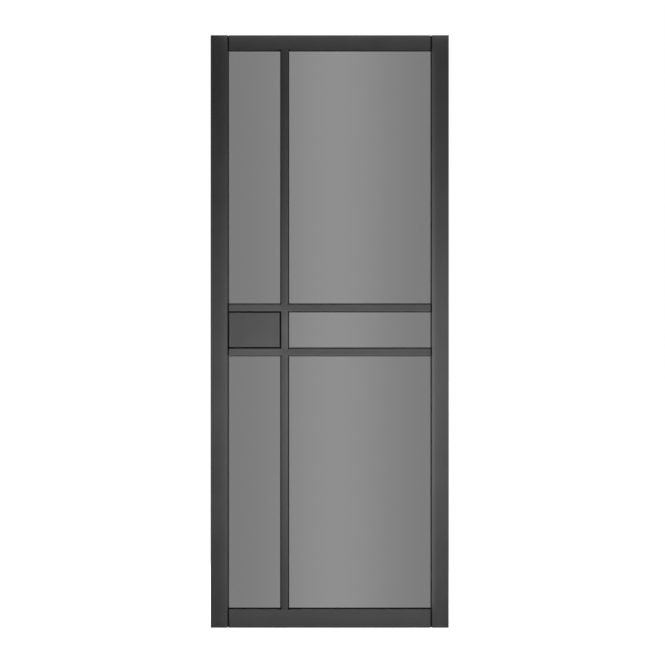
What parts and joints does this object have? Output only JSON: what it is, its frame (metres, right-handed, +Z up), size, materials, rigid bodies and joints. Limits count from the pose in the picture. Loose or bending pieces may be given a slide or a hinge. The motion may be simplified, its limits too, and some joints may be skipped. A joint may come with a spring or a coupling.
{
  "type": "glass door",
  "caption": "Tall narrow-framed door leaf in black painted timber with slim glazing bars, tinted glass panes and a small solid lock panel.",
  "frame": {"origin": "middle of the leaf's bottom edge, centred in its width and thickness", "axes": "+Z up, +X from the lock edge to the hinge edge, +Y from the front face to the beaded back face"},
  "size_m": [0.82, 0.04, 2.04],
  "materials": {
    "painted_timber": "satin",
    "tinted_glass": "polished",
    "black_rubber": "matte",
    "beech": "matte"
  },
  "bodies": {
    "root": {"lock_stile": "painted_timber", "hinge_stile": "painted_timber", "top_rail": "painted_timber", "bottom_rail": "painted_timber", "upper_bar": "painted_timber", "lower_bar": "painted_timber", "vertical_bar": "painted_timber", "lock_panel": "painted_timber", "pane_upper_left": "tinted_glass", "seal_upper_left": "black_rubber", "pane_upper_right": "tinted_glass", "seal_upper_right": "black_rubber", "pane_middle_right": "tinted_glass", "seal_middle_right": "black_rubber", "pane_lower_left": "tinted_glass", "seal_lower_left": "black_rubber", "pane_lower_right": "tinted_glass", "seal_lower_right": "black_rubber", "bead_upper_left_top": "painted_timber", "bead_upper_left_right": "painted_timber", "bead_upper_left_bottom": "painted_timber", "bead_upper_left_left": "painted_timber", "bead_upper_right_top": "painted_timber", "bead_upper_right_right": "painted_timber", "bead_upper_right_bottom": "painted_timber", "bead_upper_right_left": "painted_timber", "bead_middle_left_top": "painted_timber", "bead_middle_left_right": "painted_timber", "bead_middle_left_bottom": "painted_timber", "bead_middle_left_left": "painted_timber", "bead_middle_right_top": "painted_timber", "bead_middle_right_right": "painted_timber", "bead_middle_right_bottom": "painted_timber", "bead_middle_right_left": "painted_timber", "bead_lower_left_top": "painted_timber", "bead_lower_left_right": "painted_timber", "bead_lower_left_bottom": "painted_timber", "bead_lower_left_left": "painted_timber", "bead_lower_right_top": "painted_timber", "bead_lower_right_right": "painted_timber", "bead_lower_right_bottom": "painted_timber", "bead_lower_right_left": "painted_timber", "top_rail_dowels": "beech", "bottom_rail_dowels": "beech", "upper_bar_dowels": "beech", "lower_bar_dowels": "beech", "vertical_bar_dowels": "beech"}
  },
  "joints": []
}
